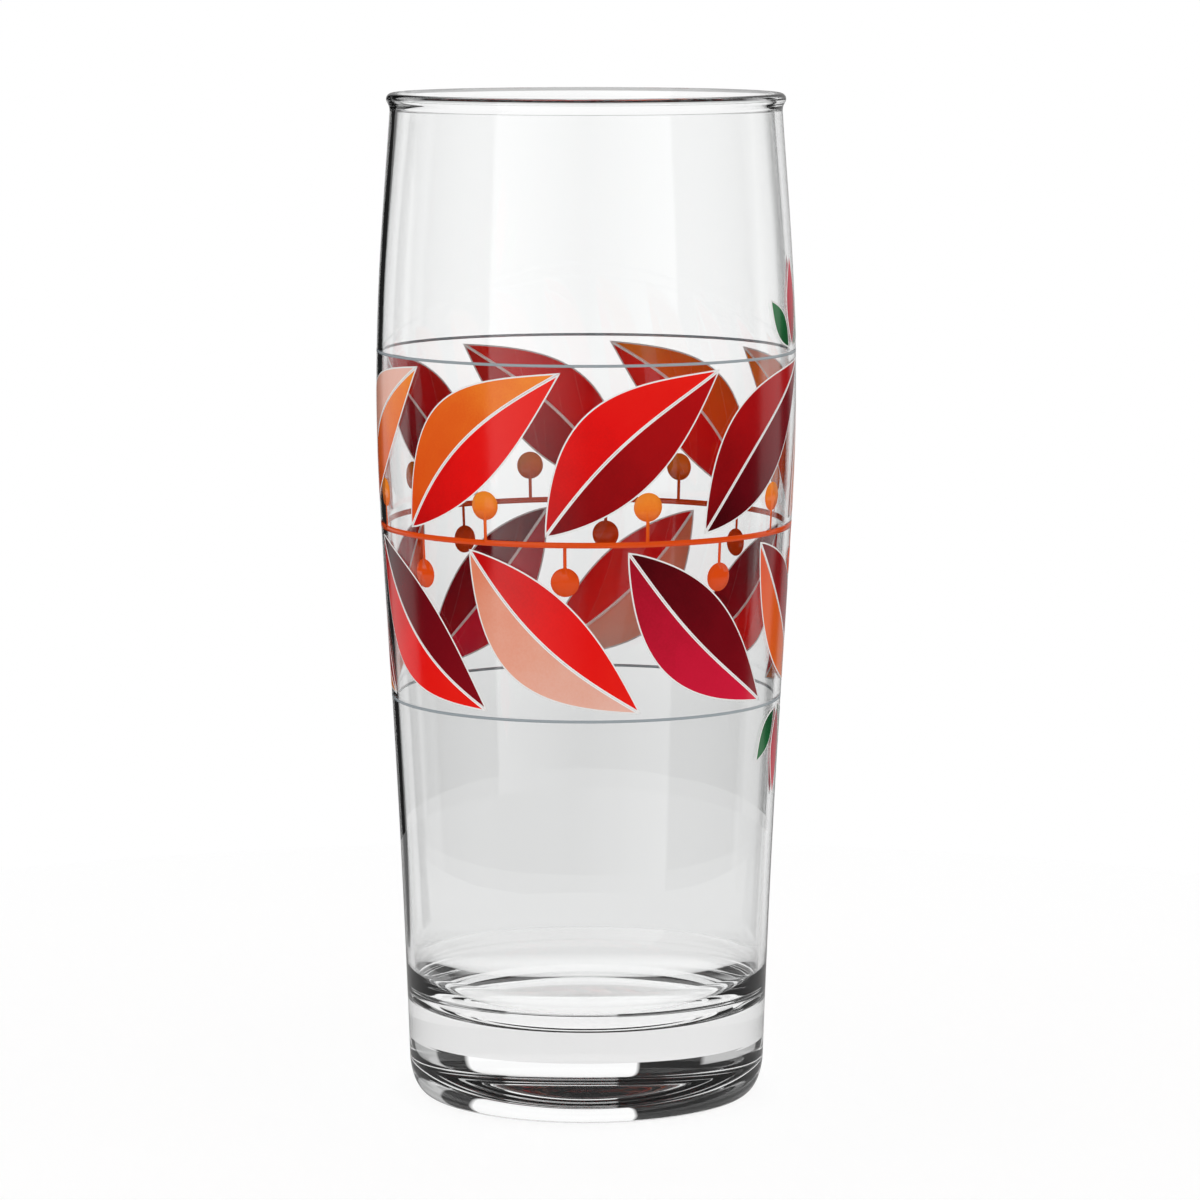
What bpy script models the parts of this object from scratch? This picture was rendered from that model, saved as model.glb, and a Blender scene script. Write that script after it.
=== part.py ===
"""Half-litre beer tumbler: one blown glass body with a laurel wreath printed round its belly.

Metres, +Z up. The origin is the middle of the foot, on the surface that the glass stands on.
"""

import math

import bmesh
import bpy
from mathutils import Vector

# Glass body, outside
HEIGHT = 0.1775
LIP_BEAD = 0.0021
LIP_PROUD = 0.0006
NECK_RADIUS = 0.0344
NECK_TAPER = math.radians(4.0)
BELLY_RADIUS = 0.03695
BELLY_TO_LIP = 0.0525
FOOT_RADIUS = 0.0316
FOOT_TAPER = math.radians(1.9)
HEEL_INSET = 0.0032
HEEL_HEIGHT = 0.007
FOOT_RING = 0.0018
PUNT_DEPTH = 0.0006

# Glass body, inside
BELLY_WALL = 0.0009
FOOT_WALL = 0.0013
FLOOR_HEIGHT = 0.0154
FLOOR_FILLET = 0.008

# Fullness of the wall's curve: each handle as a share of the stretch of wall that it bends
FOOT_HANDLE = 0.60
UNDER_BELLY_HANDLE = 0.21
OVER_BELLY_HANDLE = 0.40
NECK_HANDLE = 0.32

# Printed ink films
INK_THICKNESS = 0.0002
INK_CLEARANCE = 0.0003

# Laurel wreath: a stem round the glass with berries on stalks, and slanted leaves above and below it
STEM_TO_LIP = 0.0755
STEM_WIDTH = 0.001
STALK_WIDTH = 0.0006
STALK_LENGTH = 0.0034
BERRY_RADIUS = 0.0025
LEAF_LENGTH = 0.042
LEAF_WIDTH = 0.0164
LEAF_SPACING = 0.001
LEAF_SLANT = math.radians(42.0)
LEAF_BEND = 0.0028
LEAF_FULLNESS = 0.9
LEAF_TO_STEM = 0.0008
MIDRIB_WIDTH = 0.0005
WREATH_TURN = math.radians(-101.0)

# Border lines: one thin line round the glass over the wreath, and one under it
BORDER_WIDTH = 0.0005
BORDER_TO_WREATH = 0.0009

# Sprigs: three small leaves over the upper border line and under the lower one, on one side of the glass
SPRIG_TURN = math.radians(-13.0)
SPRIG_TO_BORDER = 0.0009
SPRIG_LENGTH = 0.016
SPRIG_WIDTH = 0.0062
SIDE_LENGTH = 0.0118
SIDE_WIDTH = 0.0048
SIDE_SPREAD = math.radians(42.0)
SIDE_GAP = 0.0008

# Fineness of the meshes
TURN_STEPS = 48
WALL_POINTS = 9
NECK_POINTS = 6
LIP_POINTS = 12
ROUND_POINTS = 6
LEAF_POINTS = 8
BERRY_POINTS = 10
WELD = 0.000001

# Heights and radii that follow from these
BELLY_HEIGHT = HEIGHT - BELLY_TO_LIP
STEM_HEIGHT = HEIGHT - STEM_TO_LIP
PUNT_RADIUS = FOOT_RADIUS - HEEL_INSET - FOOT_RING

# Ink colours as 8-bit screen values
INKS = {
    "scarlet": (226, 10, 8),
    "ruby": (160, 2, 8),
    "burgundy": (104, 2, 14),
    "crimson": (196, 14, 46),
    "orange": (230, 90, 16),
    "peach": (232, 158, 132),
    "green": (18, 98, 48),
    "silver": (150, 158, 162),
}

# Light and dark half of each leaf, in turn round each row of the wreath
LEAF_INKS = {
    "upper": (("scarlet", "ruby"), ("ruby", "burgundy"), ("peach", "orange"), ("orange", "scarlet")),
    "lower": (("crimson", "burgundy"), ("orange", "ruby"), ("scarlet", "burgundy"), ("peach", "scarlet")),
}
STEM_INK = "orange"
BORDER_INK = "silver"
SPRIG_INKS = {"middle": "crimson", "left": "green", "right": "green"}


def linear(value):
    """One 8-bit screen value as a linear colour value."""
    share = value / 255
    if share <= 0.04045:
        return share / 12.92
    return ((share + 0.055) / 1.055) ** 2.4


def glass_material():
    """Clear soda-lime glass."""
    material = bpy.data.materials.new("clear_glass")
    material.use_nodes = True
    shader = material.node_tree.nodes["Principled BSDF"]
    shader.inputs["Base Color"].default_value = (0.97, 0.985, 0.98, 1)
    shader.inputs["Roughness"].default_value = 0.02
    shader.inputs["Metallic"].default_value = 0
    shader.inputs["IOR"].default_value = 1.52
    shader.inputs["Transmission Weight"].default_value = 1
    return material


def ink_material(ink):
    """Glossy opaque printing ink of one colour."""
    material = bpy.data.materials.new("ink_" + ink)
    material.use_nodes = True
    shader = material.node_tree.nodes["Principled BSDF"]
    shader.inputs["Base Color"].default_value = [linear(v) for v in INKS[ink]] + [1]
    shader.inputs["Roughness"].default_value = 0.25
    shader.inputs["Metallic"].default_value = 0
    return material


def arc(centre, radius, start, end, points):
    """Points along a circular arc in the profile plane, from angle start to angle end."""
    path = []
    for i in range(points + 1):
        angle = start + (end - start) * i / points
        path.append((centre[0] + radius * math.cos(angle), centre[1] + radius * math.sin(angle)))
    return path


def bezier(start, start_handle, end_handle, end, points):
    """Points along a cubic curve in the profile plane."""
    path = []
    for i in range(points + 1):
        t = i / points
        weights = ((1 - t) ** 3, 3 * (1 - t) ** 2 * t, 3 * (1 - t) * t ** 2, t ** 3)
        corners = (start, start_handle, end_handle, end)
        path.append(tuple(sum(w * c[axis] for w, c in zip(weights, corners)) for axis in (0, 1)))
    return path


def lip_arc():
    """The rounded lip, from its inner side over the top to the crease under it outside."""
    radius = LIP_BEAD / 2
    centre = (NECK_RADIUS + LIP_PROUD - radius, HEIGHT - radius)
    crease = -math.acos((NECK_RADIUS - centre[0]) / radius)
    return arc(centre, radius, math.pi, crease, LIP_POINTS)


def heel_arc():
    """The heel, rounded to an ellipse, from the foot of the wall in to the flat ring under it."""
    top = math.atan(math.tan(FOOT_TAPER) * HEEL_HEIGHT / HEEL_INSET)
    path = arc((0, 0), 1, -top, -math.pi / 2, ROUND_POINTS)
    return [(FOOT_RADIUS - HEEL_INSET + HEEL_INSET * x, HEEL_HEIGHT + HEEL_HEIGHT * z) for x, z in path]


def outer_wall():
    """The outside of the wall, from the heel up over the belly to the crease under the lip."""
    foot = heel_arc()[0]
    belly = (BELLY_RADIUS, BELLY_HEIGHT)
    neck = lip_arc()[-1]
    rise = BELLY_HEIGHT - foot[1]
    foot_reach = FOOT_HANDLE * rise
    foot_handle = (foot[0] + foot_reach * math.sin(FOOT_TAPER), foot[1] + foot_reach * math.cos(FOOT_TAPER))
    under_belly = (BELLY_RADIUS, BELLY_HEIGHT - UNDER_BELLY_HANDLE * rise)
    drop = neck[1] - BELLY_HEIGHT
    neck_reach = NECK_HANDLE * drop
    neck_handle = (neck[0] + neck_reach * math.sin(NECK_TAPER), neck[1] - neck_reach * math.cos(NECK_TAPER))
    over_belly = (BELLY_RADIUS, BELLY_HEIGHT + OVER_BELLY_HANDLE * drop)
    lower = bezier(foot, foot_handle, under_belly, belly, WALL_POINTS)
    upper = bezier(belly, over_belly, neck_handle, neck, NECK_POINTS)
    return lower + upper[1:]


WALL = outer_wall()


def wall_radius(height):
    """Outside radius of the wall at a height."""
    for (low_radius, low), (high_radius, high) in zip(WALL, WALL[1:]):
        if height <= high:
            break
    return low_radius + (high_radius - low_radius) * (height - low) / (high - low)


def wall_thickness(height):
    """Thickness of the wall at a height: thinnest at the belly, thicker to the lip and the foot."""
    if height > BELLY_HEIGHT:
        end_wall = LIP_BEAD - LIP_PROUD
        share = (height - BELLY_HEIGHT) / (WALL[-1][1] - BELLY_HEIGHT)
    else:
        end_wall = FOOT_WALL
        share = (BELLY_HEIGHT - height) / (BELLY_HEIGHT - FLOOR_HEIGHT - FLOOR_FILLET)
    return BELLY_WALL + (end_wall - BELLY_WALL) * share ** 2


def inner_wall():
    """The inside of the wall, from the middle of the floor out, round its fillet and up to the lip."""
    fillet_top = FLOOR_HEIGHT + FLOOR_FILLET
    inside = wall_radius(fillet_top) - wall_thickness(fillet_top)
    centre = (inside - FLOOR_FILLET, fillet_top)
    path = [(0, FLOOR_HEIGHT)]
    path += arc(centre, FLOOR_FILLET, -math.pi / 2, 0, ROUND_POINTS)
    lip_foot = lip_arc()[0][1]
    for radius, height in WALL:
        if fillet_top < height < lip_foot:
            path.append((radius - wall_thickness(height), height))
    return path


def underside():
    """The shallow hollow under the foot, from its edge in to the middle."""
    path = []
    for i in range(ROUND_POINTS + 1):
        share = i / ROUND_POINTS
        path.append((PUNT_RADIUS * (1 - share), PUNT_DEPTH * (1 - math.cos(math.pi * share)) / 2))
    return path


def add_object(name, mesh, material):
    """A named object for one sub-part, in the tumbler's collection."""
    mesh.materials.append(material)
    obj = bpy.data.objects.new(name, mesh)
    parts.objects.link(obj)
    return obj


def turned(name, profile, material):
    """A solid turned about +Z from a profile of radius and height."""
    mesh = bpy.data.meshes.new(name)
    bm = bmesh.new()
    points = [bm.verts.new((radius, 0, height)) for radius, height in profile]
    for pair in zip(points, points[1:]):
        bm.edges.new(pair)
    bm.to_mesh(mesh)
    bm.free()
    obj = add_object(name, mesh, material)
    screw = obj.modifiers.new("turn", "SCREW")
    screw.axis = "Z"
    screw.angle = 2 * math.pi
    screw.steps = TURN_STEPS
    screw.render_steps = TURN_STEPS
    screw.use_merge_vertices = True
    screw.merge_threshold = WELD
    screw.use_smooth_shade = True
    return obj


def leaf_swell(share):
    """Half width of a pointed leaf at a share of its length, as a part of its greatest half width."""
    return math.sin(math.pi * share ** LEAF_FULLNESS)


def leaf_outline(length, width):
    """A whole pointed leaf along +X from its base."""
    near = []
    far = []
    for i in range(LEAF_POINTS + 1):
        t = i / LEAF_POINTS
        near.append((t * length, -width / 2 * leaf_swell(t)))
        far.append((t * length, width / 2 * leaf_swell(t)))
    return near + far[-2:0:-1]


def half_leaf_outline(side):
    """One half of a wreath leaf along +X from its base, on side +1 or -1 of the bare midrib."""
    edge = []
    rib = []
    for i in range(LEAF_POINTS + 1):
        t = i / LEAF_POINTS
        rib_side = LEAF_BEND * math.sin(math.pi * t) + side * MIDRIB_WIDTH / 2
        half_width = (LEAF_WIDTH - MIDRIB_WIDTH) / 2 * leaf_swell(t)
        rib.append((t * LEAF_LENGTH, rib_side))
        edge.append((t * LEAF_LENGTH, rib_side + side * half_width))
    return edge + rib[-2:0:-1]


def berry_outline():
    """One berry on its stalk above the stem's edge, from the stalk's right foot to its left."""
    half_stalk = STALK_WIDTH / 2
    foot = math.asin(half_stalk / BERRY_RADIUS)
    centre = (0, STALK_LENGTH + BERRY_RADIUS)
    round_berry = arc(centre, BERRY_RADIUS, foot - math.pi / 2, 1.5 * math.pi - foot, BERRY_POINTS)
    return [(half_stalk, 0)] + round_berry + [(-half_stalk, 0)]


def stem_outline(start, length, upper, lower):
    """The stem unrolled from its start, with its berries at the places given above and below it."""
    berry = berry_outline()
    top = STEM_HEIGHT + STEM_WIDTH / 2
    bottom = STEM_HEIGHT - STEM_WIDTH / 2
    path = [(start, bottom)]
    for place in lower:
        path += [(place - x, bottom - y) for x, y in berry]
    path += [(start + length, bottom), (start + length, top)]
    for place in reversed(upper):
        path += [(place + x, top + y) for x, y in berry]
    return path + [(start, top)]


def turned_outline(outline, angle):
    """An outline turned about its own start."""
    cos, sin = math.cos(angle), math.sin(angle)
    return [(x * cos - y * sin, x * sin + y * cos) for x, y in outline]


def flat_sheet(outline):
    """A filled flat outline as a bmesh, along the glass in X and up it in Y."""
    curve = bpy.data.curves.new("outline", "CURVE")
    curve.dimensions = "2D"
    curve.fill_mode = "BOTH"
    spline = curve.splines.new("POLY")
    spline.points.add(len(outline[1:]))
    for point, (along, height) in zip(spline.points, outline):
        point.co = (along, height, 0, 1)
    spline.use_cyclic_u = True
    drawing = bpy.data.objects.new("outline", curve)
    bpy.context.scene.collection.objects.link(drawing)
    evaluated = drawing.evaluated_get(bpy.context.evaluated_depsgraph_get())
    flat = bpy.data.meshes.new_from_object(evaluated)
    sheet = bmesh.new()
    sheet.from_mesh(flat)
    bmesh.ops.remove_doubles(sheet, verts=sheet.verts, dist=WELD)
    bmesh.ops.dissolve_faces(sheet, faces=sheet.faces[:])
    bpy.data.objects.remove(drawing)
    bpy.data.curves.remove(curve)
    bpy.data.meshes.remove(flat)
    return sheet


def cut_sheet(sheet, square, places):
    """Cut a flat sheet by lines at these places along a direction, so that it can bend there."""
    for place in places:
        geometry = sheet.verts[:] + sheet.edges[:] + sheet.faces[:]
        bmesh.ops.bisect_plane(sheet, geom=geometry, dist=WELD, plane_co=square * place, plane_no=square)


def film(name, outline, material):
    """A thin ink film on the outside of the glass, from an outline of distance round it and height."""
    sheet = flat_sheet(outline)
    facet = 2 * math.pi * PRINT_RADIUS / TURN_STEPS
    first = math.ceil(min(along for along, height in outline) / facet)
    last = math.floor(max(along for along, height in outline) / facet)
    cut_sheet(sheet, Vector((1, 0, 0)), [k * facet for k in range(first, last + 1)])
    cut_sheet(sheet, Vector((0, 1, 0)), [height for radius, height in WALL])
    for vert in sheet.verts:
        turn = vert.co.x / PRINT_RADIUS
        height = vert.co.y
        radius = wall_radius(height) + INK_CLEARANCE
        vert.co = (radius * math.cos(turn), radius * math.sin(turn), height)
    bmesh.ops.remove_doubles(sheet, verts=sheet.verts, dist=WELD)
    mesh = bpy.data.meshes.new(name)
    sheet.to_mesh(mesh)
    sheet.free()
    mesh.shade_smooth()
    obj = add_object(name, mesh, material)
    thicken = obj.modifiers.new("thickness", "SOLIDIFY")
    thicken.thickness = INK_THICKNESS
    thicken.offset = 1
    return obj


def placed(outline, along, above, side):
    """An outline at a distance round the glass and above the stem, or below it with side -1."""
    return [(along + x, STEM_HEIGHT + side * (above + y)) for x, y in outline]


for old in list(bpy.data.objects):
    bpy.data.objects.remove(old)

parts = bpy.data.collections.new("beer_tumbler")
bpy.context.scene.collection.children.link(parts)
inks = {ink: ink_material(ink) for ink in INKS}

# The glass: one piece, blown and fire-polished
profile = inner_wall() + lip_arc() + WALL[-2::-1] + heel_arc()[1:] + underside()
turned("glass_tumbler", profile, glass_material())

# The wreath's leaves, as many as fit round the glass, each printed in two halves beside a bare midrib
PRINT_RADIUS = wall_radius(STEM_HEIGHT)
round_glass = 2 * math.pi * PRINT_RADIUS
leaf_count = math.floor(round_glass * math.sin(LEAF_SLANT) / (LEAF_WIDTH + LEAF_SPACING))
leaf_pitch = round_glass / leaf_count
halves = {
    "light": turned_outline(half_leaf_outline(1), LEAF_SLANT),
    "dark": turned_outline(half_leaf_outline(-1), LEAF_SLANT),
}
leaf_heights = [y for outline in halves.values() for x, y in outline]
leaf_rise = STEM_WIDTH / 2 + LEAF_TO_STEM - min(leaf_heights)
first_leaf = {"upper": WREATH_TURN * PRINT_RADIUS, "lower": WREATH_TURN * PRINT_RADIUS + leaf_pitch / 2}
for row, side in (("upper", 1), ("lower", -1)):
    for i in range(leaf_count):
        pair = LEAF_INKS[row][i % len(LEAF_INKS[row])]
        for tone, ink in zip(("light", "dark"), pair):
            outline = placed(halves[tone], first_leaf[row] + i * leaf_pitch, leaf_rise, side)
            film(f"leaf_{row}_{i + 1:02d}_{tone}", outline, inks[ink])

# The wreath's stem: a thin printed line right round the glass, with a berry between each two leaves
berry_rise = STEM_WIDTH / 2 + STALK_LENGTH + BERRY_RADIUS - leaf_rise
berry_share = berry_rise / (LEAF_LENGTH * math.sin(LEAF_SLANT))
leaf_lean = berry_rise / math.tan(LEAF_SLANT)
leaf_lean -= LEAF_BEND * math.sin(math.pi * berry_share) / math.sin(LEAF_SLANT)
first_berry = first_leaf["upper"] + leaf_lean + leaf_pitch / 2
stem_start = first_berry - leaf_pitch / 4
upper_berries = [first_berry + i * leaf_pitch for i in range(leaf_count)]
lower_berries = [place + leaf_pitch / 2 for place in upper_berries]
film("wreath_stem", stem_outline(stem_start, round_glass, upper_berries, lower_berries), inks[STEM_INK])

# The border lines, just clear of the leaves' tips
border_rise = leaf_rise + max(leaf_heights) + BORDER_TO_WREATH
border = [(0, 0), (round_glass, 0), (round_glass, BORDER_WIDTH), (0, BORDER_WIDTH)]
for row, side in (("upper", 1), ("lower", -1)):
    film(f"border_{row}", placed(border, 0, border_rise, side), inks[BORDER_INK])

# The sprigs: a middle leaf straight up and down the glass, and a smaller one leaning out each side
sprig_rise = border_rise + BORDER_WIDTH + SPRIG_TO_BORDER
middle_leaf = turned_outline(leaf_outline(SPRIG_LENGTH, SPRIG_WIDTH), math.pi / 2)
right_leaf = turned_outline(leaf_outline(SIDE_LENGTH, SIDE_WIDTH), math.pi / 2 - SIDE_SPREAD)
side_dip = min(y for x, y in right_leaf)
right_leaf = [(x, y - side_dip) for x, y in right_leaf]
side_shift = SIDE_GAP + max(
    SPRIG_WIDTH / 2 * leaf_swell(min(y / SPRIG_LENGTH, 1)) - x for x, y in right_leaf
)
sprig_leaves = {
    "middle": middle_leaf,
    "right": [(x + side_shift, y) for x, y in right_leaf],
    "left": [(-x - side_shift, y) for x, y in right_leaf],
}
for row, side in (("top", 1), ("bottom", -1)):
    for leaf, outline in sprig_leaves.items():
        outline = placed(outline, SPRIG_TURN * PRINT_RADIUS, sprig_rise, side)
        film(f"sprig_{row}_{leaf}", outline, inks[SPRIG_INKS[leaf]])
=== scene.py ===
import math

import bmesh
import bpy
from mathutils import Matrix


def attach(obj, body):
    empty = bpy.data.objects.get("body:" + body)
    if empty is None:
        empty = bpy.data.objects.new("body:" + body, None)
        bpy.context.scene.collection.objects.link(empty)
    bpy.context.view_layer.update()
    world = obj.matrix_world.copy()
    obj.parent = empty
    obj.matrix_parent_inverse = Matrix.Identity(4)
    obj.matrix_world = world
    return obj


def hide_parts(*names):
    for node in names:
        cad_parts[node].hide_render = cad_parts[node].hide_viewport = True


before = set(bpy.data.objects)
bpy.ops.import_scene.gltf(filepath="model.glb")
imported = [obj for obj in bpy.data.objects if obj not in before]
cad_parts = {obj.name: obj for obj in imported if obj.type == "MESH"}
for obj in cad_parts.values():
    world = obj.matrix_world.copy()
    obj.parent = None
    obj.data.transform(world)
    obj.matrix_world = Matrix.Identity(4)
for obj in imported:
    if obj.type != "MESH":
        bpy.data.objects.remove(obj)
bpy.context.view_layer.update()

# The glass: one piece of clear soda-lime glass, blown in a turning mould and fire-polished at the lip.
# The base is solid and heavy, with a rounded heel and a shallow hollow under it, so it stands on a ring.
GLASS_HEIGHT = 0.1775
LIP_BEAD = 0.0021
LIP_PROUD = 0.0006
LIP_SLOPE = math.radians(34.0)
NECK_RADIUS = 0.0344
NECK_TAPER = math.radians(4.0)
BELLY_RADIUS = 0.03695
BELLY_HEIGHT = 0.125
FOOT_RADIUS = 0.0316
FOOT_TAPER = math.radians(1.9)
HEEL_INSET = 0.0032
HEEL_HEIGHT = 0.007
PUNT_RADIUS = 0.0266
PUNT_DEPTH = 0.0003
BELLY_WALL = 0.0009
FOOT_WALL = 0.0013
FLOOR_HEIGHT = 0.0152
FILLET_HEIGHT = 0.0085
FILLET_WIDTH = 0.011
FOOT_PULL = 0.60
LOWER_BELLY_PULL = 0.21
UPPER_BELLY_PULL = 0.40
NECK_PULL = 0.32
ROUND_STEPS = 256
MERGE_GAP = 0.000001
GLASS_TINT = (0.988, 0.992, 0.991, 1)
GLASS_IOR = 1.52
WAVE_SCALE = 55
WAVE_STRENGTH = 0.3
WAVE_HEIGHT = 0.00006


def arc(centre, radius, start, end, points):
    angles = [start + (end - start) * i / points for i in range(points + 1)]
    return [(centre[0] + radius * math.cos(a), centre[1] + radius * math.sin(a)) for a in angles]


def bend(start, start_handle, end_handle, end, points):
    """A smooth curve from start to end, pulled towards the two handles."""
    path = []
    for i in range(points + 1):
        t = i / points
        weights = ((1 - t) ** 3, 3 * (1 - t) ** 2 * t, 3 * (1 - t) * t ** 2, t ** 3)
        corners = (start, start_handle, end_handle, end)
        path.append(tuple(sum(w * c[axis] for w, c in zip(weights, corners)) for axis in (0, 1)))
    return path


lip_centre = (NECK_RADIUS + LIP_PROUD - LIP_BEAD / 2, GLASS_HEIGHT - LIP_BEAD / 2)
lip = arc(lip_centre, LIP_BEAD / 2, math.pi, -LIP_SLOPE, 24)
lip_hollow = (lip[-1][0] - NECK_RADIUS) / (math.cos(NECK_TAPER) - math.cos(LIP_SLOPE))
hollow_centre = (
    lip[-1][0] + lip_hollow * math.cos(LIP_SLOPE),
    lip[-1][1] - lip_hollow * math.sin(LIP_SLOPE),
)
lip += arc(hollow_centre, lip_hollow, math.pi - LIP_SLOPE, math.pi + NECK_TAPER, 16)[1:]
heel_top = math.atan(math.tan(FOOT_TAPER) * HEEL_HEIGHT / HEEL_INSET)
heel = [
    (FOOT_RADIUS - HEEL_INSET + HEEL_INSET * x, HEEL_HEIGHT + HEEL_HEIGHT * z)
    for x, z in arc((0, 0), 1, -heel_top, -math.pi / 2, 40)
]

foot = heel[0]
neck = lip[-1]
belly = (BELLY_RADIUS, BELLY_HEIGHT)
rise = BELLY_HEIGHT - foot[1]
drop = neck[1] - BELLY_HEIGHT
lower_wall = bend(
    foot,
    (foot[0] + FOOT_PULL * rise * math.sin(FOOT_TAPER), foot[1] + FOOT_PULL * rise * math.cos(FOOT_TAPER)),
    (BELLY_RADIUS, BELLY_HEIGHT - LOWER_BELLY_PULL * rise),
    belly,
    60,
)
upper_wall = bend(
    belly,
    (BELLY_RADIUS, BELLY_HEIGHT + UPPER_BELLY_PULL * drop),
    (neck[0] + NECK_PULL * drop * math.sin(NECK_TAPER), neck[1] - NECK_PULL * drop * math.cos(NECK_TAPER)),
    neck,
    36,
)
outer_wall = lower_wall + upper_wall[1:]


def wall_radius(height):
    for (low_radius, low), (high_radius, high) in zip(outer_wall, outer_wall[1:]):
        if height <= high:
            break
    return low_radius + (high_radius - low_radius) * (height - low) / (high - low)


def wall_thickness(height):
    if height > BELLY_HEIGHT:
        share = (height - BELLY_HEIGHT) / drop
        return BELLY_WALL + (LIP_BEAD - LIP_PROUD - BELLY_WALL) * share ** 2
    share = (BELLY_HEIGHT - height) / (BELLY_HEIGHT - FLOOR_HEIGHT - FILLET_HEIGHT)
    return BELLY_WALL + (FOOT_WALL - BELLY_WALL) * share ** 2


fillet_top = FLOOR_HEIGHT + FILLET_HEIGHT
inner_radius = wall_radius(fillet_top) - wall_thickness(fillet_top)
inner_floor = [((inner_radius - FILLET_WIDTH) * i / 10, FLOOR_HEIGHT) for i in range(10)]
fillet_end = math.atan(math.tan(FOOT_TAPER) * FILLET_HEIGHT / FILLET_WIDTH)
fillet = [
    (inner_radius - FILLET_WIDTH + FILLET_WIDTH * x, fillet_top + FILLET_HEIGHT * z)
    for x, z in arc((0, 0), 1, -math.pi / 2, -fillet_end, 40)
]
inner_wall = [(r - wall_thickness(z), z) for r, z in outer_wall if fillet_top < z < lip[0][1]]
punt = [(PUNT_RADIUS * (1 - i / 40), PUNT_DEPTH * (1 - math.cos(math.pi * i / 40)) / 2) for i in range(41)]
glass_profile = inner_floor + fillet + inner_wall + lip + outer_wall[-2::-1] + heel[1:] + punt

bm = bmesh.new()
points = [bm.verts.new((r, 0, z)) for r, z in glass_profile]
edges = [bm.edges.new(pair) for pair in zip(points, points[1:])]
bmesh.ops.spin(
    bm,
    geom=points + edges,
    cent=(0, 0, 0),
    axis=(0, 0, 1),
    angle=2 * math.pi,
    steps=ROUND_STEPS,
    use_merge=True,
)
bmesh.ops.remove_doubles(bm, verts=bm.verts, dist=MERGE_GAP)
bmesh.ops.recalc_face_normals(bm, faces=bm.faces)


def new_piece(bm, name, *materials):
    mesh = bpy.data.meshes.new(name)
    bm.to_mesh(mesh)
    bm.free()
    mesh.shade_smooth()
    for material in materials:
        mesh.materials.append(material)
    piece = bpy.data.objects.new(name, mesh)
    bpy.context.scene.collection.objects.link(piece)
    return piece


def new_finish(name):
    material = bpy.data.materials.new(name)
    material.use_nodes = True
    return material, material.node_tree, material.node_tree.nodes["Principled BSDF"]


def noise(tree, scale, detail):
    place = tree.nodes.new("ShaderNodeTexCoord")
    texture = tree.nodes.new("ShaderNodeTexNoise")
    texture.inputs["Scale"].default_value = scale
    texture.inputs["Detail"].default_value = detail
    tree.links.new(place.outputs["Object"], texture.inputs["Vector"])
    return texture.outputs["Fac"]


def bump(tree, height, strength, distance, shader):
    node = tree.nodes.new("ShaderNodeBump")
    node.inputs["Strength"].default_value = strength
    node.inputs["Distance"].default_value = distance
    tree.links.new(height, node.inputs["Height"])
    tree.links.new(node.outputs["Normal"], shader.inputs["Normal"])


glass_finish, tree, shader = new_finish("polished_glass")
shader.inputs["Base Color"].default_value = GLASS_TINT
shader.inputs["Roughness"].default_value = 0
shader.inputs["IOR"].default_value = GLASS_IOR
shader.inputs["Transmission Weight"].default_value = 1
place = tree.nodes.new("ShaderNodeTexCoord")
split = tree.nodes.new("ShaderNodeSeparateXYZ")
tree.links.new(place.outputs["Object"], split.inputs[0])
blown_part = tree.nodes.new("ShaderNodeMapRange")
blown_part.inputs["From Min"].default_value = fillet_top
blown_part.inputs["From Max"].default_value = BELLY_HEIGHT
tree.links.new(split.outputs["Z"], blown_part.inputs["Value"])
waves = tree.nodes.new("ShaderNodeMath")
waves.operation = "MULTIPLY"
tree.links.new(blown_part.outputs[0], waves.inputs[0])
tree.links.new(noise(tree, WAVE_SCALE, 1), waves.inputs[1])
bump(tree, waves.outputs[0], WAVE_STRENGTH, WAVE_HEIGHT, shader)

glass = new_piece(bm, "glass_body", glass_finish)
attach(glass, "root")
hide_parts("glass_tumbler")

# The wreath's leaves: opaque glossy inks, screen-printed on the outside of the belly and fired on.
# Each leaf is two films side by side, and every film has a fine white keyline round it.
STEM_HEIGHT = 0.102
STEM_WIDTH = 0.001
LEAF_LENGTH = 0.042
LEAF_WIDTH = 0.0164
LEAF_SPACING = 0.001
LEAF_SLANT = math.radians(42.0)
LEAF_BEND = 0.0028
LEAF_FULLNESS = 0.9
LEAF_TO_STEM = 0.0008
LEAF_POINTS = 32
MIDRIB_WIDTH = 0.00004
KEYLINE_WIDTH = 0.00026
WREATH_TURN = math.radians(-101.0)
INK_SINK = 0.00001
INK_THICKNESS = 0.00004
INK_ROUGHNESS = 0.16
KEYLINE_ROUGHNESS = 0.2
# Painted light on the inner faces: how much lighter their copy of each ink is, less for bright inks.
INNER_PAINTED_LIGHT = 2.5
INNER_PAINTED_LIGHT_FALL = 1.55
GRAIN_SCALE = 620
GRAIN_STRENGTH = 0.12
GRAIN_HEIGHT = 0.0001
CLOUD_SHARE = 0.45
CLOUD_SCALE = 150
SPECK_SHARE = 0.25
SPECK_SCALE = 2600
SHADE_START = 0.35
SHADE_END = 1.35
CUT_ROUND = 0.0015
CUT_UP = 0.003
LEAF_INKS = {
    "upper": (("scarlet", "ruby"), ("ruby", "burgundy"), ("peach", "orange"), ("orange", "scarlet")),
    "lower": (("crimson", "burgundy"), ("orange", "ruby"), ("scarlet", "burgundy"), ("peach", "scarlet")),
}


def linear(*screen):
    """A colour's screen values of 0 to 255 as the linear shares that the shader takes."""
    shares = [value / 255 for value in screen]
    return [s / 12.92 if s <= 0.04045 else ((s + 0.055) / 1.055) ** 2.4 for s in shares] + [1]


def ink_grain(tree, shader):
    bump(tree, noise(tree, GRAIN_SCALE, 2), GRAIN_STRENGTH, GRAIN_HEIGHT, shader)


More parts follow.
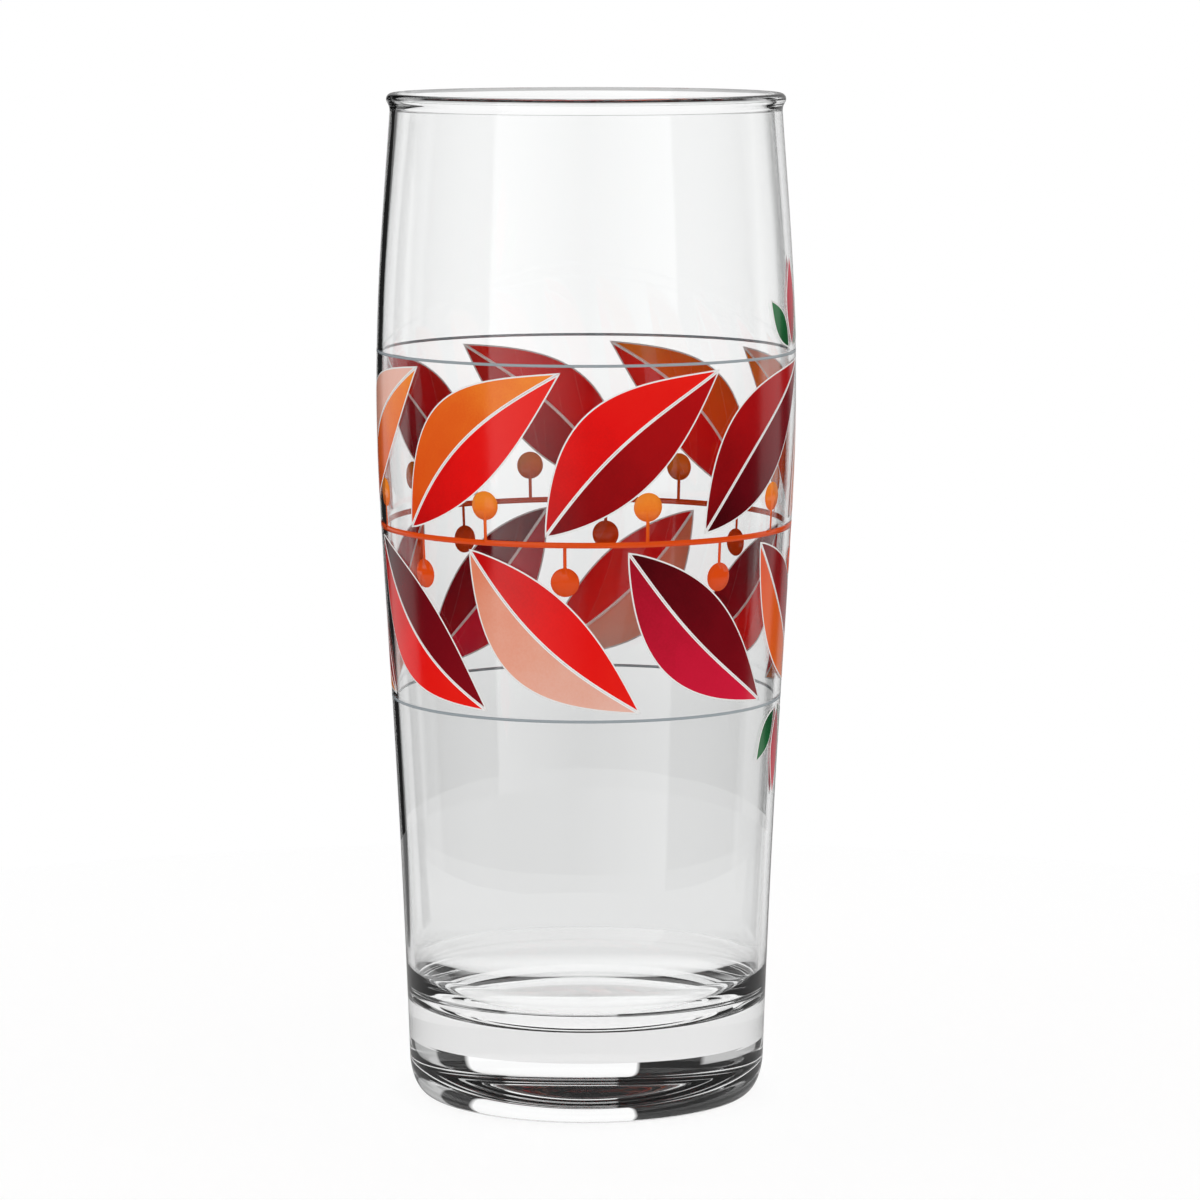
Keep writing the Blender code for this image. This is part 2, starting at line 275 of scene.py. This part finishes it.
def ink_finish(name, base, middle, tip):
    """A fired ink that shades from the leaf's base to its tip, with soft clouds and fine specks in it."""
    material, tree, shader = new_finish(name + "_ink")
    shader.inputs["Roughness"].default_value = INK_ROUGHNESS
    along = tree.nodes.new("ShaderNodeUVMap")
    along.uv_map = "leaf"
    split = tree.nodes.new("ShaderNodeSeparateXYZ")
    tree.links.new(along.outputs["UV"], split.inputs["Vector"])
    tone = split.outputs["X"]
    for share, pattern_scale, detail in ((CLOUD_SHARE, CLOUD_SCALE, 3), (SPECK_SHARE, SPECK_SCALE, 2)):
        mix = tree.nodes.new("ShaderNodeMath")
        mix.operation = "MULTIPLY_ADD"
        mix.inputs[1].default_value = share
        tree.links.new(noise(tree, pattern_scale, detail), mix.inputs[0])
        tree.links.new(tone, mix.inputs[2])
        tone = mix.outputs[0]
    spread = tree.nodes.new("ShaderNodeMapRange")
    spread.inputs["From Min"].default_value = SHADE_START
    spread.inputs["From Max"].default_value = SHADE_END
    tree.links.new(tone, spread.inputs["Value"])
    blend = tree.nodes.new("ShaderNodeValToRGB")
    blend.color_ramp.elements[0].color = base
    blend.color_ramp.elements[1].color = tip
    halfway = blend.color_ramp.elements.new(0.5)
    halfway.color = middle
    tree.links.new(spread.outputs[0], blend.inputs["Fac"])
    tree.links.new(blend.outputs["Color"], shader.inputs["Base Color"])
    ink_grain(tree, shader)
    return material


INK_COLOURS = {
    "scarlet": (linear(196, 0, 1), linear(236, 4, 2), linear(240, 26, 10)),
    "ruby": (linear(120, 0, 6), linear(168, 2, 8), linear(190, 4, 8)),
    "burgundy": (linear(74, 1, 8), linear(116, 2, 16), linear(136, 4, 20)),
    "crimson": (linear(160, 6, 30), linear(204, 14, 50), linear(220, 24, 60)),
    "orange": (linear(226, 74, 4), linear(234, 98, 20), linear(248, 140, 40)),
    "peach": (linear(230, 132, 98), linear(234, 164, 140), linear(238, 188, 172)),
    "green": (linear(6, 78, 36), linear(16, 100, 50), linear(30, 118, 60)),
    "silver": (linear(134, 144, 150), linear(152, 160, 165), linear(164, 172, 176)),
}


def painted_light_inner_colour(colour):
    """A lighter copy of an ink's colour for its inner face: painted light that makes up for the wall in
    front of it darkening it again.
    """
    painted_lift = INNER_PAINTED_LIGHT / (1 + INNER_PAINTED_LIGHT_FALL * max(colour[:3]))
    return [share * painted_lift for share in colour[:3]] + [1]


# Each ink also gets a lighter copy for the inner face of its film, which is painted light on the prints
# seen through the glass.
inks = {}
painted_light_inks = {}
for ink, colours in INK_COLOURS.items():
    inks[ink] = ink_finish(ink, *colours)
    painted_light_inks[ink] = ink_finish(ink + "_inner", *[painted_light_inner_colour(colour) for colour in colours])
keyline, tree, shader = new_finish("white_keyline")
shader.inputs["Base Color"].default_value = linear(242, 240, 238)
shader.inputs["Roughness"].default_value = KEYLINE_ROUGHNESS
ink_grain(tree, shader)

print_radius = wall_radius(STEM_HEIGHT)
round_glass = 2 * math.pi * print_radius
leaf_count = math.floor(round_glass * math.sin(LEAF_SLANT) / (LEAF_WIDTH + LEAF_SPACING))
leaf_pitch = round_glass / leaf_count


def leaf_swell(share):
    return math.sin(math.pi * share ** LEAF_FULLNESS)


def half_leaf(side):
    edge = []
    rib = []
    for i in range(LEAF_POINTS + 1):
        t = i / LEAF_POINTS
        rib_side = LEAF_BEND * math.sin(math.pi * t) + side * MIDRIB_WIDTH / 2
        half_width = (LEAF_WIDTH - MIDRIB_WIDTH) / 2 * leaf_swell(t)
        rib.append((t * LEAF_LENGTH, rib_side))
        edge.append((t * LEAF_LENGTH, rib_side + side * half_width))
    return edge + rib[-2:0:-1]


def turned_outline(outline, angle):
    cos, sin = math.cos(angle), math.sin(angle)
    return [(x * cos - y * sin, x * sin + y * cos) for x, y in outline]


def placed(outline, along, above, side):
    return [(along + x, STEM_HEIGHT + side * (above + y)) for x, y in outline]


def printed_film(name, outline, start, end, ink, edged):
    """A film of ink on the glass. Its colour runs along the leaf, from start to end."""
    bm = bmesh.new()
    bm.faces.new([bm.verts.new((x, y, 0)) for x, y in outline])
    bmesh.ops.recalc_face_normals(bm, faces=bm.faces)
    if bm.faces[:][0].normal.z < 0:
        bmesh.ops.reverse_faces(bm, faces=bm.faces)
    if edged:
        rim = bmesh.ops.inset_region(
            bm, faces=bm.faces[:], thickness=KEYLINE_WIDTH, use_even_offset=True, use_boundary=True
        )
        for face in rim["faces"]:
            face.material_index = 1
    for axis, square, step in ((0, (1, 0, 0), CUT_ROUND), (1, (0, 1, 0), CUT_UP)):
        places = [point[axis] for point in outline]
        for k in range(math.ceil(min(places) / step), math.floor(max(places) / step) + 1):
            line = [k * step * s for s in square]
            geometry = bm.verts[:] + bm.edges[:] + bm.faces[:]
            bmesh.ops.bisect_plane(bm, geom=geometry, dist=MERGE_GAP, plane_co=line, plane_no=square)
    leaf_map = bm.loops.layers.uv.new("leaf")
    run = (end[0] - start[0], end[1] - start[1])
    squared = run[0] ** 2 + run[1] ** 2
    for face in bm.faces:
        for loop in face.loops:
            x, y = loop.vert.co.x - start[0], loop.vert.co.y - start[1]
            loop[leaf_map].uv = ((x * run[0] + y * run[1]) / squared, (y * run[0] - x * run[1]) / squared)
    for vert in bm.verts:
        turn = vert.co.x / print_radius
        height = vert.co.y
        radius = wall_radius(height) - INK_SINK
        vert.co = (radius * math.cos(turn), radius * math.sin(turn), height)
    bmesh.ops.remove_doubles(bm, verts=bm.verts, dist=MERGE_GAP)
    # The film's inner face takes the lighter, painted-light copy of its ink.
    film = new_piece(bm, name + "_print", inks[ink], keyline, painted_light_inks[ink], keyline)
    thicken = film.modifiers.new("ink_thickness", "SOLIDIFY")
    thicken.thickness = INK_THICKNESS
    thicken.offset = 1
    thicken.material_offset = 2
    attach(film, "root")
    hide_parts(name)
    return film


halves = {
    "light": turned_outline(half_leaf(1), LEAF_SLANT),
    "dark": turned_outline(half_leaf(-1), LEAF_SLANT),
}
leaf_heights = [y for outline in halves.values() for x, y in outline]
leaf_rise = STEM_WIDTH / 2 + LEAF_TO_STEM - min(leaf_heights)
leaf_run = (LEAF_LENGTH * math.cos(LEAF_SLANT), LEAF_LENGTH * math.sin(LEAF_SLANT))
first_leaf = {"upper": WREATH_TURN * print_radius, "lower": WREATH_TURN * print_radius + leaf_pitch / 2}
for row, side in (("upper", 1), ("lower", -1)):
    for i in range(leaf_count):
        pair = LEAF_INKS[row][i % len(LEAF_INKS[row])]
        along = first_leaf[row] + i * leaf_pitch
        start, end = placed([(0, 0), leaf_run], along, leaf_rise, side)
        for tone, ink in zip(("light", "dark"), pair):
            outline = placed(halves[tone], along, leaf_rise, side)
            printed_film(f"leaf_{row}_{i + 1:02d}_{tone}", outline, start, end, ink, True)

# The wreath's stem: one thin line of ink right round the glass, with a berry on a stalk between each two
# leaves. It is printed in one colour with the berries, and fired on with the rest.
STALK_WIDTH = 0.0006
STALK_LENGTH = 0.0034
BERRY_RADIUS = 0.0025
STEM_SHADING = 0.008
stalk_foot = math.asin(STALK_WIDTH / 2 / BERRY_RADIUS)
berry = arc(
    (0, STALK_LENGTH + BERRY_RADIUS), BERRY_RADIUS, stalk_foot - math.pi / 2, 1.5 * math.pi - stalk_foot, 28
)
berry = [(STALK_WIDTH / 2, 0)] + berry + [(-STALK_WIDTH / 2, 0)]
berry_rise = STEM_WIDTH / 2 + STALK_LENGTH + BERRY_RADIUS - leaf_rise
berry_share = berry_rise / leaf_run[1]
leaf_lean = berry_rise / math.tan(LEAF_SLANT)
leaf_lean -= LEAF_BEND * math.sin(math.pi * berry_share) / math.sin(LEAF_SLANT)
first_berry = first_leaf["upper"] + leaf_lean + leaf_pitch / 2
stem_start = first_berry - leaf_pitch / 4
stem_top = STEM_HEIGHT + STEM_WIDTH / 2
stem_bottom = STEM_HEIGHT - STEM_WIDTH / 2
stem = [(stem_start, stem_bottom)]
for i in range(leaf_count):
    place = first_berry + (i + 0.5) * leaf_pitch
    stem += [(place - x, stem_bottom - y) for x, y in berry]
stem += [(stem_start + round_glass, stem_bottom), (stem_start + round_glass, stem_top)]
for i in reversed(range(leaf_count)):
    place = first_berry + i * leaf_pitch
    stem += [(place + x, stem_top + y) for x, y in berry]
stem += [(stem_start, stem_top)]
printed_film("wreath_stem", stem, (0, STEM_HEIGHT), (0, STEM_HEIGHT + STEM_SHADING), "orange", False)

# The border lines: one thin line of silver-grey ink over the wreath's leaves and one under them,
# screen-printed right round the glass and fired on.
BORDER_WIDTH = 0.0005
BORDER_TO_WREATH = 0.0009
border_rise = leaf_rise + max(leaf_heights) + BORDER_TO_WREATH
border = [(0, 0), (round_glass, 0), (round_glass, BORDER_WIDTH), (0, BORDER_WIDTH)]
for row, side in (("upper", 1), ("lower", -1)):
    line = placed(border, 0, border_rise, side)
    printed_film(f"border_{row}", line, line[0], line[1], "silver", False)

# The sprigs: three small leaves of ink over the upper border line and under the lower one, on the right
# side of the glass. Each is one fired film with a white keyline.
SPRIG_TURN = math.radians(-13.0)
SPRIG_TO_BORDER = 0.0009
SPRIG_LENGTH = 0.016
SPRIG_WIDTH = 0.0062
SIDE_LENGTH = 0.0118
SIDE_WIDTH = 0.0048
SIDE_SPREAD = math.radians(42.0)
SIDE_GAP = 0.0008
SPRIG_POINTS = 24
SPRIG_INKS = {"middle": "crimson", "left": "green", "right": "green"}


def small_leaf(length, width):
    shares = [i / SPRIG_POINTS for i in range(SPRIG_POINTS + 1)]
    near = [(t * length, -width / 2 * leaf_swell(t)) for t in shares]
    far = [(t * length, width / 2 * leaf_swell(t)) for t in shares]
    return near + far[-2:0:-1]


sprig_rise = border_rise + BORDER_WIDTH + SPRIG_TO_BORDER
middle_leaf = turned_outline(small_leaf(SPRIG_LENGTH, SPRIG_WIDTH), math.pi / 2)
right_leaf = turned_outline(small_leaf(SIDE_LENGTH, SIDE_WIDTH), math.pi / 2 - SIDE_SPREAD)
side_dip = min(y for x, y in right_leaf)
right_leaf = [(x, y - side_dip) for x, y in right_leaf]
side_shift = SIDE_GAP + max(
    SPRIG_WIDTH / 2 * leaf_swell(min(y / SPRIG_LENGTH, 1)) - x for x, y in right_leaf
)
sprig_leaves = {
    "middle": middle_leaf,
    "right": [(x + side_shift, y) for x, y in right_leaf],
    "left": [(-x - side_shift, y) for x, y in right_leaf],
}
for row, side in (("top", 1), ("bottom", -1)):
    for leaf, outline in sprig_leaves.items():
        outline = placed(outline, SPRIG_TURN * print_radius, sprig_rise, side)
        tip = outline[SPRIG_POINTS]
        printed_film(f"sprig_{row}_{leaf}", outline, outline[0], tip, SPRIG_INKS[leaf], True)

# The floor: a plain pale studio table, matt and even. It looks white to the camera, keeps the glass's soft
# shadow, and right under the glass it glows brighter: a painted pool of light for the light that the glass
# gathers there. Through the glass its far edge is seen too.
FLOOR_RADIUS = 0.25
FLOOR_TONE = 0.35
FLOOR_IN_GLASS = 0.86
FLOOR_ON_INK = 0.95
FLOOR_GAP = 0.00005
PAINTED_POOL_RADIUS = 0.045
PAINTED_POOL_LEVEL = 1.05
TABLE_EDGE = 0.12
EDGE_BLUR = 0.01
EDGE_SECTOR = 38
SECTOR_BLUR = 2
bm = bmesh.new()
bmesh.ops.create_circle(bm, cap_ends=True, segments=96, radius=FLOOR_RADIUS)
for vert in bm.verts:
    vert.co.z = -FLOOR_GAP
floor_finish, tree, shader = new_finish("studio_floor")
shader.inputs["Base Color"].default_value = (FLOOR_TONE, FLOOR_TONE, FLOOR_TONE, 1)
shader.inputs["Roughness"].default_value = 1
shader.inputs["Specular IOR Level"].default_value = 0
light_path = tree.nodes.new("ShaderNodeLightPath")
glow = tree.nodes.new("ShaderNodeEmission")


def value_of(operation, *values):
    node = tree.nodes.new("ShaderNodeMath")
    node.operation = operation
    for socket, value in zip(node.inputs, values):
        if isinstance(value, (int, float)):
            socket.default_value = value
        else:
            tree.links.new(value, socket)
    return node.outputs[0]


def fade(value, low, high):
    node = tree.nodes.new("ShaderNodeMapRange")
    node.inputs["From Min"].default_value = low
    node.inputs["From Max"].default_value = high
    tree.links.new(value, node.inputs["Value"])
    return node.outputs[0]


def mixed(share, first, second):
    first_part = value_of("MULTIPLY", value_of("SUBTRACT", 1, share), first)
    return value_of("ADD", first_part, value_of("MULTIPLY", share, second))


def in_sector(bearing):
    return fade(value_of("ABSOLUTE", bearing), EDGE_SECTOR + SECTOR_BLUR, EDGE_SECTOR - SECTOR_BLUR)


place = tree.nodes.new("ShaderNodeTexCoord")
reach = tree.nodes.new("ShaderNodeVectorMath")
reach.operation = "LENGTH"
tree.links.new(place.outputs["Object"], reach.inputs[0])
# A painted pool of light: seen through the glass, the floor glows brighter near the centre, under the
# glass.
far_off = fade(reach.outputs["Value"], PAINTED_POOL_RADIUS, PAINTED_POOL_RADIUS + EDGE_BLUR)
in_glass = mixed(far_off, PAINTED_POOL_LEVEL - FLOOR_TONE, FLOOR_IN_GLASS - FLOOR_TONE)
glow_level = value_of("MULTIPLY", light_path.outputs["Is Transmission Ray"], in_glass)
for ray, shown in (("Is Diffuse Ray", FLOOR_ON_INK), ("Is Camera Ray", 1)):
    glow_level = value_of("MULTIPLY_ADD", light_path.outputs[ray], shown - FLOOR_TONE, glow_level)
tree.links.new(glow_level, glow.inputs["Strength"])
both = tree.nodes.new("ShaderNodeAddShader")
tree.links.new(shader.outputs[0], both.inputs[0])
tree.links.new(glow.outputs[0], both.inputs[1])
unseen = tree.nodes.new("ShaderNodeMixShader")
spot = tree.nodes.new("ShaderNodeSeparateXYZ")
tree.links.new(place.outputs["Object"], spot.inputs[0])
bearing = value_of("DEGREES", value_of("ARCTAN2", spot.outputs["X"], spot.outputs["Y"]))
beyond = fade(reach.outputs["Value"], TABLE_EDGE, TABLE_EDGE + EDGE_BLUR)
beyond = value_of("MULTIPLY", beyond, in_sector(bearing))
beyond = value_of("MULTIPLY", light_path.outputs["Is Transmission Ray"], beyond)
tree.links.new(beyond, unseen.inputs["Fac"])
tree.links.new(both.outputs[0], unseen.inputs[1])
tree.links.new(tree.nodes.new("ShaderNodeBsdfTransparent").outputs[0], unseen.inputs[2])
tree.links.new(unseen.outputs[0], tree.nodes["Material Output"].inputs["Surface"])
floor = new_piece(bm, "floor", floor_finish)

# The studio: soft even light on the inks and the floor, and a white backdrop that shows through the glass.
# The thick glass also shows a light panel behind it, two at the sides, a softbox in front and the windows
# of the room. A panel is given by its edges in degrees round and up, and by its strength.
BACK_PANEL = (-12, -11, 30, 32, 28, 1.04)
SIDE_PANELS = (
    (-66, -64, -31, -29, 4, 0.5),
    (45, 47, 68, 70, 48, 0.5),
    (-182, -126, -126, -125, 45, 1.0),
)
WINDOW_PITCH = 45
WINDOW_WIDTH = 26
WINDOW_TOP = 28
WINDOWS_FROM = (75, 78)
PANEL_FOOT = -18
PANEL_BLUR = 1
WALL_FACES = 4
LOW_LEVEL = 0.6
DARK_LEVEL = 0.015
BACKDROP_LEVEL = 1.1
TABLE_LEVEL = 0.8
TABLE_LINE = (-9, -4.5)
UNDER_TABLE = (-14, -19)
REFLECTED_SHARE = 0.3
world = bpy.data.worlds.new("studio")
bpy.context.scene.world = world
world.use_nodes = True
tree = world.node_tree
tree.nodes.clear()

direction = tree.nodes.new("ShaderNodeTexCoord")
axes = tree.nodes.new("ShaderNodeSeparateXYZ")
tree.links.new(direction.outputs["Generated"], axes.inputs[0])
azimuth = value_of("DEGREES", value_of("ARCTAN2", axes.outputs["X"], axes.outputs["Y"]))
elevation = value_of("DEGREES", value_of("ARCSINE", axes.outputs["Z"]))


def upright(top):
    above_foot = fade(elevation, PANEL_FOOT - PANEL_BLUR, PANEL_FOOT)
    return value_of("SUBTRACT", above_foot, fade(elevation, top, top + PANEL_BLUR))


def panel(left, left_full, right_full, right, top, strength):
    across = value_of("SUBTRACT", fade(azimuth, left, left_full), fade(azimuth, right_full, right))
    return value_of("MULTIPLY", value_of("MULTIPLY", across, upright(top)), strength)


light_path = tree.nodes.new("ShaderNodeLightPath")
level = DARK_LEVEL
for side_panel in SIDE_PANELS:
    level = value_of("ADD", level, panel(*side_panel))
shown = mixed(light_path.outputs["Is Reflection Ray"], 1, REFLECTED_SHARE)
level = value_of("MULTIPLY_ADD", panel(*BACK_PANEL), shown, level)
both_walls = value_of("GREATER_THAN", light_path.outputs["Transmission Depth"], WALL_FACES - 0.5)
straight = value_of("LESS_THAN", light_path.outputs["Glossy Depth"], 0.5)
one_wall = value_of("MULTIPLY", light_path.outputs["Is Transmission Ray"], straight)
off_window = value_of("PINGPONG", azimuth, WINDOW_PITCH / 2)
windows = fade(off_window, WINDOW_WIDTH / 2 + PANEL_BLUR, WINDOW_WIDTH / 2 - PANEL_BLUR)
windows = value_of("MULTIPLY", windows, fade(value_of("ABSOLUTE", azimuth), *WINDOWS_FROM))
windows = value_of("MULTIPLY", windows, upright(WINDOW_TOP))
level = mixed(value_of("MULTIPLY", one_wall, windows), level, 1)
low_down = fade(elevation, PANEL_FOOT, PANEL_FOOT - PANEL_BLUR)
level = mixed(value_of("MULTIPLY", one_wall, low_down), level, LOW_LEVEL)
backdrop = mixed(fade(elevation, *TABLE_LINE), TABLE_LEVEL, BACKDROP_LEVEL)
under_table = value_of("MULTIPLY", fade(elevation, *UNDER_TABLE), in_sector(azimuth))
backdrop = mixed(under_table, backdrop, DARK_LEVEL)
level = mixed(value_of("MULTIPLY", both_walls, straight), level, backdrop)
even = value_of("GREATER_THAN", light_path.outputs["Diffuse Depth"], 0.5)
level = mixed(value_of("MAXIMUM", even, light_path.outputs["Is Camera Ray"]), level, 1)
light = tree.nodes.new("ShaderNodeBackground")
light.inputs["Color"].default_value = (1, 1, 1, 1)
tree.links.new(level, light.inputs["Strength"])
output = tree.nodes.new("ShaderNodeOutputWorld")
tree.links.new(light.outputs[0], output.inputs["Surface"])
bpy.context.scene.view_settings.view_transform = "Standard"
bpy.context.scene.cycles.blur_glossy = 0

# The camera: a long lens on a full-frame sensor, nearly a metre in front of the glass. It stands just above
# the lip and looks a little down.
CAMERA_LENS = 153.45
CAMERA_SENSOR = 36
CAMERA_PLACE = (0.00243, -0.899, 0.2049)
CAMERA_TILT = math.radians(7.41)
camera_data = bpy.data.cameras.new("camera")
camera_data.lens = CAMERA_LENS
camera_data.sensor_width = CAMERA_SENSOR
camera_data.clip_start = 0.01
camera_data.clip_end = 50
camera = bpy.data.objects.new("camera", camera_data)
camera.location = CAMERA_PLACE
camera.rotation_euler = (math.pi / 2 - CAMERA_TILT, 0, 0)
bpy.context.scene.collection.objects.link(camera)
bpy.context.scene.camera = camera
